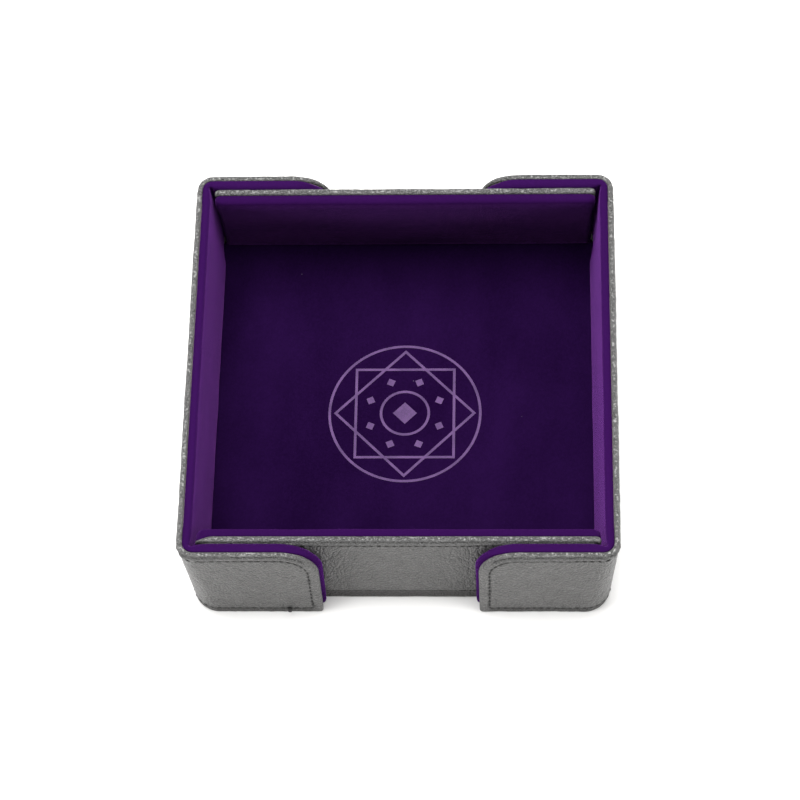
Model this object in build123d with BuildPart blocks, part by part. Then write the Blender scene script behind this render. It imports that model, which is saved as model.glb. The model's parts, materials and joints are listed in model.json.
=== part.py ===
from build123d import *
from math import cos, radians, sin, sqrt, tan
import os

# Folding dice tray: velvet-lined leather panels, stiffened with boards, that stand up as a square
# tray. The left and right walls carry flaps that wrap around soft corners and hold the front and
# back walls with hidden magnets. Units are millimetres, +Z is up, +Y is the back, and the origin
# is on the table under the middle of the tray.

# Overall size
BASE_SIDE = 184.0  # outer square of the walls at table level
RIM_HEIGHT = 52.0  # table to rim
SIDE_LEAN = 3.3  # degrees that the left and right walls lean outwards
END_LEAN = 4.2  # degrees that the front and back walls and the flaps lean inwards

# Layers of a panel, from the outside in
SKIN = 1.2  # leather
BOARD = 1.7  # stiff board
PAD = 3.3  # velvet over thin foam
FLAP_PAD = 3.9  # the same on a flap
COVER = SKIN + BOARD
WALL = COVER + PAD
FLAP = COVER + FLAP_PAD
FLAP_GAP = 0.5  # between a flap's lining and the end wall's leather
PAD_SETBACK = 0.8  # lining inside the leather edge
PAD_ROUND = 1.3
RIM_ROUND = 0.8
FIT = 0.1  # clearance between glued layers

# Base and the hinge leather along its edges
BASE_SKIN = 1.2
BASE_BOARD = 2.4
BASE_VELVET = 1.4
BASE_VELVET_ROUND = 0.6
BASE_CORNER = 12.0
BASE_TOP = BASE_SKIN + BASE_BOARD + BASE_VELVET
HINGE_LENGTH = 156.0
HINGE_HEIGHT = 5.6

# Panels
PANEL_START = 5.9  # walls begin this far up their slope, above the hinge leather
END_WALL_LENGTH = 171.4
END_TIP_RADIUS = 2.5
FLAP_EDGE = 34.5  # free edge of a flap, from the tray's middle
FLAP_RADIUS = 17.0  # rounded top corner at the free edge
FLAP_FOOT_RADIUS = 1.5

# Soft corners
CORNER_LEG = 13.0  # from the corner line to the stiff panels
CORNER_GAP = 0.3
CORNER_START = 0.6  # height of the corner leather above the table
CORNER_RADIUS_LOW = 12.0
CORNER_RADIUS_TOP = 7.0
CORNER_CREASE = 0.8  # radius inside the lining's fold
PANEL_INSET = CORNER_LEG + CORNER_GAP

# Stitching
HEM = 4.6  # stitch line from an edge
SEAM_END = 1.0  # seam stops short of the soft corner
SEAM_TURN = 1.5
STITCH_PITCH = 3.2
STITCH_LENGTH = 2.3
STITCH_WIDTH = 0.6
GROOVE_WIDTH = 1.0
GROOVE_DEPTH = 0.35
THREAD_RISE = 0.15

# Magnets, in the boards of the flaps and of the front and back walls
MAGNET_DIAMETER = 9.0
MAGNET_THICKNESS = 1.5
MAGNET_OFFSET = 46.0  # from the tray's middle
MAGNET_HEIGHT = 27.0

# Ornament on the floor velvet: an eight-pointed star of two crossed squares between two rings
ORNAMENT_CENTRE = (0.0, -3.0)
ORNAMENT_LINE = 1.2
ORNAMENT_RISE = 0.12
RING_RADIUS = 35.0
STAR_RADIUS = 32.5
STAR_TURN = 45.0  # degrees from one square to the other
HUB_RADIUS = 11.5
HUB_DIAMOND = 5.5
POINT_COUNT = 8
POINT_RING = 17.0
POINT_DIAMOND = 2.2

HALF = BASE_SIDE / 2
SIDE_COS, SIDE_SIN, SIDE_TAN = (f(radians(SIDE_LEAN)) for f in (cos, sin, tan))
END_COS, END_SIN, END_TAN = (f(radians(END_LEAN)) for f in (cos, sin, tan))
FLAP_DEPTH = -FLAP_GAP - FLAP  # outer face of a flap, measured inwards from the end wall's
FLAP_FOOT = HALF - FLAP_DEPTH / END_COS  # outer face of a flap at table level
SIDE_TOP = RIM_HEIGHT / SIDE_COS  # rim, along the slope of a side wall
END_TOP = RIM_HEIGHT / END_COS
FLAP_TOP = (RIM_HEIGHT + FLAP_DEPTH * END_SIN) / END_COS

os.makedirs("parts", exist_ok=True)


def save(part, label):
    """Names one piece and writes its STEP file."""
    part.label = label
    export_step(part, f"parts/{label}.step")


def side_plane(sx):
    """Outer face of the left (sx = -1) or right (sx = 1) wall. Its x runs along the wall, its y
    up the slope and its z inwards, with the origin at table level."""
    inwards = (-sx * SIDE_COS, 0, SIDE_SIN)
    return Plane(origin=(sx * HALF, 0, 0), x_dir=(0, -sx, 0), z_dir=inwards)


def end_plane(sy, depth=0.0):
    """The same for the front (sy = -1) or back (sy = 1) wall, moved inwards by depth."""
    inwards = Vector(0, -sy * END_COS, -END_SIN)
    origin = Vector(0, sy * HALF, 0) + inwards * depth
    return Plane(origin=origin, x_dir=(sy, 0, 0), z_dir=inwards)


def side_end(slope_height):
    """Half the length of a side wall's stiff part, which ends short of the soft corners."""
    return FLAP_FOOT - slope_height * SIDE_COS * END_TAN - PANEL_INSET


def flap_end(slope_height):
    """Distance from the tray's middle at which a flap's stiff part ends at its soft corner."""
    return HALF + slope_height * END_COS * SIDE_TAN - PANEL_INSET


def innermost(part, face):
    """The face of a part that lies furthest inwards from the outer face of its panel."""
    return part.faces().sort_by(Axis(face.origin, face.z_dir))[-1]


def outermost(part, face):
    """The face of a part that lies in the outer face of its panel."""
    return part.faces().sort_by(Axis(face.origin, face.z_dir))[0]


def build_panel(name, face, outline, seam, pad, rounded_edges, magnets=()):
    """Builds the layers of one panel on its outer face: a leather cover that is folded around the
    edge of a board, the board, the velvet lining, the stitches along the seam and any magnets.
    rounded_edges picks the edges to round from all edges of the cover's outer face."""
    with BuildPart() as leather:
        with BuildSketch(face):
            add(outline)
        extrude(amount=COVER)
        fillet(rounded_edges(outermost(leather, face).edges()), RIM_ROUND)
        with BuildSketch(face.offset(SKIN)):
            offset(outline, amount=-SKIN, kind=Kind.INTERSECTION)
        extrude(amount=BOARD, mode=Mode.SUBTRACT)
        with BuildSketch(face):
            trace(seam, GROOVE_WIDTH)
        extrude(amount=GROOVE_DEPTH, mode=Mode.SUBTRACT)
    save(leather.part, f"{name}_leather")

    with BuildPart() as board:
        with BuildSketch(face.offset(SKIN)):
            offset(outline, amount=-SKIN - FIT, kind=Kind.INTERSECTION)
            with Locations(*magnets):
                Circle(MAGNET_DIAMETER / 2 + FIT, mode=Mode.SUBTRACT)
        extrude(amount=BOARD)
    save(board.part, f"{name}_board")

    with BuildPart() as velvet:
        with BuildSketch(face.offset(COVER)):
            offset(outline, amount=-PAD_SETBACK, kind=Kind.INTERSECTION)
        extrude(amount=pad)
        fillet(innermost(velvet, face).edges(), PAD_ROUND)
    save(velvet.part, f"{name}_velvet")

    count = int(seam.length / STITCH_PITCH)
    with BuildPart() as stitching:
        with BuildSketch(face.offset(-THREAD_RISE)):
            for i in range(count):
                t = (i + 0.5) / count
                with Locations(Location(seam.position_at(t), seam.tangent_angle_at(t))):
                    SlotOverall(STITCH_LENGTH, STITCH_WIDTH)
        extrude(amount=THREAD_RISE + GROOVE_DEPTH)
    save(stitching.part, f"{name}_stitching")

    if magnets:
        with BuildPart() as magnet:
            with BuildSketch(face.offset(SKIN + FIT)):
                with Locations(*magnets):
                    Circle(MAGNET_DIAMETER / 2)
            extrude(amount=MAGNET_THICKNESS)
        save(magnet.part, f"{name}_magnet" if len(magnets) == 1 else f"{name}_magnets")


# ---------------------------------------------------------------- base
def build_base_layer(label, height, thickness, rounding=0.0):
    """One square layer of the base, with rounded corners."""
    side = BASE_SIDE - 2 * (SKIN + FIT)
    with BuildPart() as layer:
        with BuildSketch(Plane.XY.offset(height)):
            RectangleRounded(side, side, BASE_CORNER)
        extrude(amount=thickness)
        if rounding:
            fillet(layer.faces().sort_by(Axis.Z)[-1].edges(), rounding)
    save(layer.part, label)


build_base_layer("base_leather", 0.0, BASE_SKIN)
build_base_layer("base_board", BASE_SKIN, BASE_BOARD)
build_base_layer("base_velvet", BASE_SKIN + BASE_BOARD, BASE_VELVET, rounding=BASE_VELVET_ROUND)

floor = Plane.XY.offset(BASE_TOP)
with BuildPart() as base_ornament:
    for radius in (RING_RADIUS, HUB_RADIUS):
        with BuildSketch(floor):
            with Locations(ORNAMENT_CENTRE):
                Circle(radius)
                Circle(radius - ORNAMENT_LINE, mode=Mode.SUBTRACT)
        extrude(amount=ORNAMENT_RISE)
    for turn in (0, STAR_TURN):
        with BuildSketch(floor):
            with Locations(ORNAMENT_CENTRE):
                star_side = STAR_RADIUS * sqrt(2)
                Rectangle(star_side, star_side, rotation=turn)
                star_hole = star_side - 2 * ORNAMENT_LINE
                Rectangle(star_hole, star_hole, rotation=turn, mode=Mode.SUBTRACT)
        extrude(amount=ORNAMENT_RISE)
    with BuildSketch(floor):
        with Locations(ORNAMENT_CENTRE):
            RegularPolygon(HUB_DIAMOND, 4)
            with PolarLocations(POINT_RING, POINT_COUNT, start_angle=STAR_TURN / 2):
                RegularPolygon(POINT_DIAMOND, 4)
    extrude(amount=ORNAMENT_RISE)
save(base_ornament.part, "base_ornament")

# ---------------------------------------------------------------- hinge leather along the base
HINGE_MIDDLE = HALF - SKIN / 2
for name, middle, size in (
    ("left", (-HINGE_MIDDLE, 0), (SKIN, HINGE_LENGTH)),
    ("right", (HINGE_MIDDLE, 0), (SKIN, HINGE_LENGTH)),
    ("front", (0, -HINGE_MIDDLE), (HINGE_LENGTH, SKIN)),
    ("back", (0, HINGE_MIDDLE), (HINGE_LENGTH, SKIN)),
):
    with BuildPart() as hinge:
        with BuildSketch():
            with Locations(middle):
                Rectangle(*size)
        extrude(amount=HINGE_HEIGHT)
    save(hinge.part, f"{name}_hinge_leather")

# ---------------------------------------------------------------- left and right walls
for name, sx in (("left", -1), ("right", 1)):
    with BuildSketch() as side_outline:
        low, top = side_end(PANEL_START), side_end(SIDE_TOP)
        Polygon((-low, PANEL_START), (low, PANEL_START), (top, SIDE_TOP), (-top, SIDE_TOP), align=None)
    with BuildLine() as side_seam:
        reach = side_end(SIDE_TOP) - SEAM_END
        Line((-reach, SIDE_TOP - HEM), (reach, SIDE_TOP - HEM))
    build_panel(
        f"{name}_wall",
        side_plane(sx),
        side_outline.sketch,
        side_seam.wire(),
        PAD,
        lambda edges: edges.sort_by(Axis.Z)[-1],
    )

# ---------------------------------------------------------------- front and back walls
for name, sy in (("front", -1), ("back", 1)):
    half_length = END_WALL_LENGTH / 2
    with BuildSketch() as end_outline:
        with Locations((0, (PANEL_START + END_TOP) / 2)):
            Rectangle(END_WALL_LENGTH, END_TOP - PANEL_START)
        fillet(end_outline.vertices().group_by(Axis.Y)[-1], END_TIP_RADIUS)
    with BuildLine() as end_seam:
        reach = half_length - HEM
        Line((-reach, END_TOP - HEM), (reach, END_TOP - HEM))
    build_panel(
        f"{name}_wall",
        end_plane(sy),
        end_outline.sketch,
        end_seam.wire(),
        PAD,
        lambda edges: edges.sort_by(Axis.Z)[1:],
        magnets=[(-MAGNET_OFFSET, MAGNET_HEIGHT), (MAGNET_OFFSET, MAGNET_HEIGHT)],
    )

# ---------------------------------------------------------------- flaps and soft corners
def corner_section(sx, sy, height, outer_set, inner_sets, outer_radius, inner_radius):
    """Angle-shaped section of a soft corner, between an outer outline set in from the corner
    line and an inner one set in by inner_sets on the side leg and on the flap leg."""
    corner_x = sx * (HALF + height * SIDE_TAN)
    corner_y = sy * (FLAP_FOOT - height * END_TAN)

    def inwards(x, y):
        return (corner_x - sx * x, corner_y - sy * y)

    side_set, flap_set = inner_sets
    with BuildSketch(Plane.XY.offset(height)) as section:
        Polygon(
            inwards(outer_set, outer_set),
            inwards(outer_set, CORNER_LEG),
            inwards(side_set, CORNER_LEG),
            inwards(side_set, flap_set),
            inwards(CORNER_LEG, flap_set),
            inwards(CORNER_LEG, outer_set),
            align=None,
        )
        outer_vertex = section.vertices().sort_by_distance((corner_x, corner_y))[0]
        fillet(outer_vertex, outer_radius)
        inner_vertex = section.vertices().sort_by_distance(inwards(side_set, flap_set))[0]
        fillet(inner_vertex, inner_radius)
    return section.sketch


def build_corner_layer(label, sx, sy, low, top, outer_set, inner_sets, crease=None):
    """One layer of a soft corner, whose bend is wider at the foot than at the rim."""
    ends = ((low, CORNER_RADIUS_LOW), (top, CORNER_RADIUS_TOP))
    with BuildPart() as layer:
        sections = []
        for height, bend in ends:
            inner_radius = crease or bend - inner_sets[0]
            sections.append(
                corner_section(sx, sy, height, outer_set, inner_sets, bend - outer_set, inner_radius)
            )
        loft(sections)
    save(layer.part, label)


for end_name, sy in (("front", -1), ("back", 1)):
    for side_name, sx in (("left", -1), ("right", 1)):
        corner_name = f"{end_name}_{side_name}"
        s = sx * sy  # side of the flap, in the plane of its end wall
        with BuildSketch() as flap_outline:
            Polygon(
                (s * flap_end(0), 0),
                (s * FLAP_EDGE, 0),
                (s * FLAP_EDGE, FLAP_TOP),
                (s * flap_end(FLAP_TOP), FLAP_TOP),
                align=None,
            )
            free_corners = flap_outline.vertices().sort_by(lambda v: abs(v.X))[:2].sort_by(Axis.Y)
            fillet(free_corners[1], FLAP_RADIUS)
            foot_corner = flap_outline.vertices().sort_by_distance((s * FLAP_EDGE, 0))[0]
            fillet(foot_corner, FLAP_FOOT_RADIUS)
        with BuildLine() as flap_seam:
            FilletPolyline(
                (s * (flap_end(FLAP_TOP) - SEAM_END), FLAP_TOP - HEM),
                (s * (FLAP_EDGE + HEM), FLAP_TOP - HEM),
                (s * (FLAP_EDGE + HEM), HEM),
                (s * (flap_end(0) - SEAM_END), HEM),
                radius=[FLAP_RADIUS - HEM, SEAM_TURN],
            )
        build_panel(
            f"{corner_name}_flap",
            end_plane(sy, FLAP_DEPTH),
            flap_outline.sketch,
            flap_seam.wire(),
            FLAP_PAD,
            lambda edges: edges.sort_by(lambda e: abs(e.center().X))[:-1],
            magnets=[(s * MAGNET_OFFSET, MAGNET_HEIGHT)],
        )
        build_corner_layer(
            f"{corner_name}_corner_leather", sx, sy, CORNER_START, RIM_HEIGHT, 0.0, (COVER, COVER)
        )
        lining_set = COVER + FIT
        build_corner_layer(
            f"{corner_name}_corner_velvet",
            sx,
            sy,
            PANEL_START,
            RIM_HEIGHT - PAD_SETBACK,
            lining_set,
            (WALL, FLAP),
            crease=CORNER_CREASE,
        )
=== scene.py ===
"""Looks of a folding dice tray: pebbled leather panels with stitched hems, lined with velvet."""

import json
import math

import bmesh
import bpy
import numpy as np
from mathutils import Matrix, Vector


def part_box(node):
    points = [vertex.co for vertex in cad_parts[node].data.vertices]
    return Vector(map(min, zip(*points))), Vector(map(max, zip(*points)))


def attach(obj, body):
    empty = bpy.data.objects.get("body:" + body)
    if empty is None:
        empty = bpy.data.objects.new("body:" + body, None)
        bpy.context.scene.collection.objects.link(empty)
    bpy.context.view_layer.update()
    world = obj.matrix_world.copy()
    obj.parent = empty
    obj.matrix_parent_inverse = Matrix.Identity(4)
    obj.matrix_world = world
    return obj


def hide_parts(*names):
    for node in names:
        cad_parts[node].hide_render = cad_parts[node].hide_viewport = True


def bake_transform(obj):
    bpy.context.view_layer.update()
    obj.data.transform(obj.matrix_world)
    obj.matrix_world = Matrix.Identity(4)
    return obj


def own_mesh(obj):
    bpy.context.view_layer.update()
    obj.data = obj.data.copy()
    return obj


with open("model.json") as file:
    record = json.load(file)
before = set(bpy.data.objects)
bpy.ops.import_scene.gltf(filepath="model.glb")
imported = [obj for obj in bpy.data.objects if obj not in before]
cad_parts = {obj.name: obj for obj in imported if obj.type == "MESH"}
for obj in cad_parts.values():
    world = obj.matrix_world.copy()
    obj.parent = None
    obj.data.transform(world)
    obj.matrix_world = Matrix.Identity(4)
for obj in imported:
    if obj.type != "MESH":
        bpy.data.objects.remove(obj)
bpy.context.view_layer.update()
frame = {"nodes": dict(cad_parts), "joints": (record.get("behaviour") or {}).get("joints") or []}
MM = 0.001
SIDES = (("left", -1), ("right", 1))
ENDS = (("front", -1), ("back", 1))
CORNERS = [
    (f"{end_name}_{side_name}", side_name, sx, sy)
    for end_name, sy in ENDS
    for side_name, sx in SIDES
]

# ----------------------------------------------------------------- sizes read from the frame, in mm
joints = {joint["name"]: joint for joint in frame["joints"]}
swing = joints["back_right_flap_swing"]
tilt = np.array(swing["axis"]) / swing["axis"][2]
SIDE_TAN, END_TAN = abs(tilt[0]), abs(tilt[1])
# Distance of the walls' outer faces from the middle, at the height of the table.
HALF = joints["right_wall_fold"]["pos_m"][0] / MM
FLAP_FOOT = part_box("back_right_flap_leather")[1].y / MM
FLAP_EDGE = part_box("back_right_flap_leather")[0].x / MM
END_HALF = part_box("back_wall_leather")[1].x / MM
PANEL_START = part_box("right_wall_leather")[0].z / MM
BASE_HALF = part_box("base_leather")[1].x / MM
BASE_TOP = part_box("base_velvet")[1].z / MM

# ------------------------------------------------------------------ sizes of the soft shapes, in mm
RIM = 52.0
# Depth from a panel's outer face to its lining, and thickness of the folded edge at a rim.
COVER = 2.9
SLIM_EDGE = 2.35
END_EDGE = 2.7
# The soft corners: the arc's radius at the foot and at the rim, and how far it and the straight
# runs beside it reach from the corner.
CORNER_LOW = 12.0
CORNER_TOP = 7.0
CORNER_LEG = 13.0
FLAP_RADIUS = 17.0
TIP_RADIUS = 2.5
LEAST_RADIUS = 0.8
# Seams lie HEM inside an outline, and border rings take up HEM_BAND.
HEM = 4.6
HEM_BAND = 7.5
STITCH_PITCH = 3.2
STITCH_LENGTH = 2.3
# Lengths of strip, in q: beside the side wall's cut, around the corner, and along the flap.
SIDE_CUT = 79.3
SIDE_STRIP = 7.0
CORNER_STRIP = 22.0
FLAP_STRIP = 46.0
STRIP_END = CORNER_STRIP + FLAP_STRIP
STRIP_FOOT = 0.1
# Linings: thickness, height of a flap lining's foot, insets from the outline, and fuller places.
SIDE_PAD = 3.3
FLAP_EXTRA = 1.05
LINING_FOOT = 0.8
RIM_INSET = 0.9
FLAP_RIM_INSET = 0.3
SIDE_FOOT_INSET = 0.2
END_FOOT_INSET = 0.1
FREE_EDGE_INSET = 0.2
FREE_EDGE_BULGE = 1.6
EDGE_BULGE = 0.12
TOP_BULGE = 0.85
FOOT_BULGE = 1.0


# ------------------------------------------------------------------ curves and noise
def ease(t):
    """Smooth change from 0 to 1 as t goes from 0 to 1."""
    t = np.clip(t, 0, 1)
    return t * t * (3 - 2 * t)


def ripple(x, y, size, seed):
    """Smooth noise from -1 to 1, in lumps of that size in mm."""
    cells = 61
    table = np.random.default_rng(seed).uniform(-1, 1, (cells, cells))
    u, v = np.asarray(x, float) / size, np.asarray(y, float) / size
    i, j = np.floor(u).astype(int), np.floor(v).astype(int)
    a, b = ease(u - i), ease(v - j)

    def corner(di, dj):
        return table[(i + di) % cells, (j + dj) % cells]

    low = corner(0, 0) * (1 - a) + corner(1, 0) * a
    high = corner(0, 1) * (1 - a) + corner(1, 1) * a
    return low * (1 - b) + high * b


# ------------------------------------------------------------------ outer faces of the panels
def side_face(sx):
    """Outer face of the left or right wall, as a function of the place along it and the height."""

    def surface(q, z):
        return np.stack([sx * (HALF + z * SIDE_TAN), q, z], -1)

    return surface


def end_face(sy):
    """The same for the front or back wall."""

    def surface(q, z):
        return np.stack([q, sy * (HALF - z * END_TAN), z], -1)

    return surface


def strip_face(sx, sy):
    """Outer face of the strip of leather that runs from a side wall round its soft corner to the
    free edge of the flap. q is 0 where the corner begins."""

    def surface(q, z):
        side = HALF + z * SIDE_TAN
        end = FLAP_FOOT - z * END_TAN
        radius = CORNER_LOW + (CORNER_TOP - CORNER_LOW) * z / RIM
        straight = CORNER_LEG - radius
        quarter = radius * math.pi / 2
        on_side = SIDE_CUT + (q + SIDE_STRIP) / SIDE_STRIP * (end - CORNER_LEG - SIDE_CUT)
        along = q / CORNER_STRIP * (2 * straight + quarter)
        turn = np.clip((along - straight) / radius, 0, math.pi / 2)
        before = np.minimum(along - straight, 0)
        after = np.maximum(along - straight - quarter, 0)
        corner_x = side - radius + radius * np.cos(turn) - after
        corner_y = end - radius + radius * np.sin(turn) + before
        reach = side - CORNER_LEG
        on_flap = reach + (q - CORNER_STRIP) / FLAP_STRIP * (FLAP_EDGE - reach)
        x = np.where(q < 0, side, np.where(q < CORNER_STRIP, corner_x, on_flap))
        y = np.where(q < 0, on_side, np.where(q < CORNER_STRIP, corner_y, end))
        return np.stack([sx * x, sy * y, z], -1)

    return surface


def placed(surface):
    """Turns an outer face into a function of q, z and n, where n is how far out from the face."""
    step = 0.01

    def place(q, z, n):
        q, z, n = np.broadcast_arrays(*(np.asarray(part, float) for part in (q, z, n)))
        along = surface(q + step, z) - surface(q - step, z)
        up = surface(q, z + step) - surface(q, z - step)
        normal = np.cross(along, up)
        normal /= np.linalg.norm(normal, axis=-1, keepdims=True)
        here = surface(q, z)
        outwards = np.sign((normal[..., :2] * here[..., :2]).sum(-1, keepdims=True))
        return here + normal * outwards * n[..., None]

    return place


# ------------------------------------------------------------------ mesh helpers
def add_object(name, verts, faces, material):
    """Makes a smooth-shaded object from vertices in mm, with its normals pointing outwards and
    sharp edges around faces of more than four corners, which are flat ends."""
    mesh = bpy.data.meshes.new(name)
    verts = (np.asarray(verts) * MM).tolist()
    mesh.from_pydata(verts, [], [tuple(int(v) for v in face) for face in faces])
    work = bmesh.new()
    work.from_mesh(mesh)
    bmesh.ops.recalc_face_normals(work, faces=work.faces)
    for face in work.faces:
        if len(face.verts) > 4:
            for edge in face.edges:
                edge.smooth = False
    work.to_mesh(mesh)
    work.free()
    mesh.shade_smooth()
    mesh.materials.append(material)
    obj = bpy.data.objects.new(name, mesh)
    bpy.context.scene.collection.objects.link(obj)
    return obj


def grid_faces(index):
    """Quads of a grid, from the numbers of its vertices."""
    quads = [index[:-1, :-1], index[1:, :-1], index[1:, 1:], index[:-1, 1:]]
    return [tuple(quad) for quad in np.stack(quads, -1).reshape(-1, 4)]


def tube_faces(index):
    """End caps and walls of a closed tube, from the vertex numbers of its rings, one ring a row."""
    faces = [tuple(index[0]), tuple(index[-1])]
    rings, around = index.shape
    for i in range(rings - 1):
        for j in range(around):
            k = (j + 1) % around
            faces.append((index[i, j], index[i, k], index[i + 1, k], index[i + 1, j]))
    return faces


def swept(name, sections, material):
    """Closed solid through a row of closed sections, each with the same number of points."""
    sections = np.asarray(sections, float)
    index = np.arange(sections[..., 0].size).reshape(sections.shape[:2])
    return add_object(name, sections.reshape(-1, 3), tube_faces(index), material)


def polyline(*parts):
    """Joins runs of points, dropping each run's last point where the next begins."""
    joined = [part[:-1] for part in parts[:-1]] + [parts[-1]]
    return np.concatenate(joined)


def line(a, b, count):
    """Points along a straight line."""
    t = np.linspace(0, 1, count + 1)[:, None]
    return np.array(a, float) * (1 - t) + np.array(b, float) * t


def arc(centre, radius, start, end, count):
    """Points along an arc, angles in degrees from the first axis."""
    angle = np.radians(np.linspace(start, end, count + 1))
    return np.array(centre) + radius * np.stack([np.cos(angle), np.sin(angle)], -1)


def filled(bottom, top, left, right):
    """Grid of points inside four border runs, which share their end points."""
    u = np.linspace(0, 1, len(bottom))[:, None, None]
    v = np.linspace(0, 1, len(left))[None, :, None]
    across = (1 - u) * left[None] + u * right[None]
    upright = (1 - v) * bottom[:, None] + v * top[:, None]
    corners = (1 - u) * (1 - v) * bottom[0] + u * (1 - v) * bottom[-1]
    corners = corners + (1 - u) * v * top[0] + u * v * top[-1]
    return across + upright - corners


class Panel:
    """Layout of a closed shell over a panel: a grid in (q, z), paths of grid indices along its
    border, and the outline's points opposite each path."""

    def __init__(self, grid, paths, outers, closed=False):
        self.grid = grid
        self.paths = paths
        self.outers = outers
        self.closed = closed


def grid_path(*runs):
    """Indices of grid points along the border, one run after the other."""
    found = []
    for run in runs:
        found += [point for point in run if not found or point != found[-1]]
    return found


def side_layout(columns, rows):
    """Layout of a left or right wall, with rings along its top and bottom only."""
    qs = np.linspace(-SIDE_CUT, SIDE_CUT, columns + 1)
    zs = np.linspace(PANEL_START + HEM_BAND, RIM - HEM_BAND, rows + 1)
    grid = np.stack(np.meshgrid(qs, zs, indexing="ij"), -1)
    top = [(i, rows) for i in range(columns + 1)]
    bottom = [(i, 0) for i in range(columns, -1, -1)]
    outer_top = np.stack([qs, np.full_like(qs, RIM)], -1)
    outer_bottom = np.stack([qs[::-1], np.full_like(qs, PANEL_START)], -1)
    return Panel(grid, [top, bottom], [outer_top, outer_bottom])


def rounded_box(reach, low, high, radii, counts):
    """The four sides of a box with rounded corners, each from the middle of one corner to the
    middle of the next: bottom, right, top, left, going round the same way."""
    foot, tip = radii
    columns, rows, bend = counts
    bottom = polyline(
        arc((-reach + foot, low + foot), foot, 225, 270, bend),
        line((-reach + foot, low), (reach - foot, low), columns),
        arc((reach - foot, low + foot), foot, 270, 315, bend),
    )
    right = polyline(
        arc((reach - foot, low + foot), foot, 315, 360, bend),
        line((reach, low + foot), (reach, high - tip), rows),
        arc((reach - tip, high - tip), tip, 0, 45, bend),
    )
    top = polyline(
        arc((reach - tip, high - tip), tip, 45, 90, bend),
        line((reach - tip, high), (-reach + tip, high), columns),
        arc((-reach + tip, high - tip), tip, 90, 135, bend),
    )
    left = polyline(
        arc((-reach + tip, high - tip), tip, 135, 180, bend),
        line((-reach, high - tip), (-reach, low + foot), rows),
        arc((-reach + foot, low + foot), foot, 180, 225, bend),
    )
    return bottom, right, top, left


def end_layout(counts):
    """Layout of a front or back wall, with rings all the way round."""
    reach, low, high = END_HALF - HEM_BAND, PANEL_START + HEM_BAND, RIM - HEM_BAND
    inner = rounded_box(reach, low, high, (LEAST_RADIUS, LEAST_RADIUS), counts)
    outer = rounded_box(END_HALF, PANEL_START, RIM, (LEAST_RADIUS, TIP_RADIUS), counts)
    bottom, right, top, left = inner
    grid = filled(bottom, top[::-1], left[::-1], right)
    columns, rows = len(bottom) - 1, len(right) - 1
    path = grid_path(
        [(i, 0) for i in range(columns + 1)],
        [(columns, j) for j in range(rows + 1)],
        [(i, rows) for i in range(columns, -1, -1)],
        [(0, j) for j in range(rows, 0, -1)],
    )
    return Panel(grid, [path], [polyline(*outer)[:-1]], closed=True)


def strip_outline(inset, radius, foot_radius, low, counts):
    """Top, free edge and bottom of the corner and flap strip, set in by inset, from the side wall
    over the free edge and back. The middles of the rounded corners divide the three runs."""
    end = STRIP_END - inset
    level = RIM - inset
    floor = low + inset
    centre = (end - radius, level - radius)
    foot = (end - foot_radius, floor + foot_radius)
    side, bend, flat, half_arc, upright, half_foot = counts
    top = polyline(
        line((-SIDE_STRIP, level), (0, level), side),
        line((0, level), (CORNER_STRIP, level), bend),
        line((CORNER_STRIP, level), (centre[0], level), flat),
        arc(centre, radius, 90, 45, half_arc),
    )
    free = polyline(
        arc(centre, radius, 45, 0, half_arc),
        line((end, centre[1]), (end, foot[1]), upright),
        arc(foot, foot_radius, 0, -45, half_foot),
    )
    bottom = polyline(
        arc(foot, foot_radius, -45, -90, half_foot),
        line((foot[0], floor), (CORNER_STRIP, floor), flat + half_arc - half_foot),
        line((CORNER_STRIP, floor), (0, floor), bend),
        line((0, floor), (-SIDE_STRIP, floor), side),
    )
    return top, free, bottom


def strip_layout(low, foot_radius, counts):
    """Layout of a corner and flap strip, with rings all round but for its end at the side wall."""
    inner_radius = FLAP_RADIUS - HEM_BAND
    top, free, bottom = strip_outline(HEM_BAND, inner_radius, LEAST_RADIUS, low, counts)
    columns, rows = len(top) - 1, len(free) - 1
    left = line(bottom[-1], top[0], rows)
    grid = filled(bottom[::-1], top, left, free[::-1])
    path = grid_path(
        [(i, rows) for i in range(columns + 1)],
        [(columns, j) for j in range(rows, -1, -1)],
        [(i, 0) for i in range(columns, -1, -1)],
    )
    outline = polyline(*strip_outline(0.0, FLAP_RADIUS, foot_radius, low, counts))
    return Panel(grid, [path], [outline])


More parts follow.
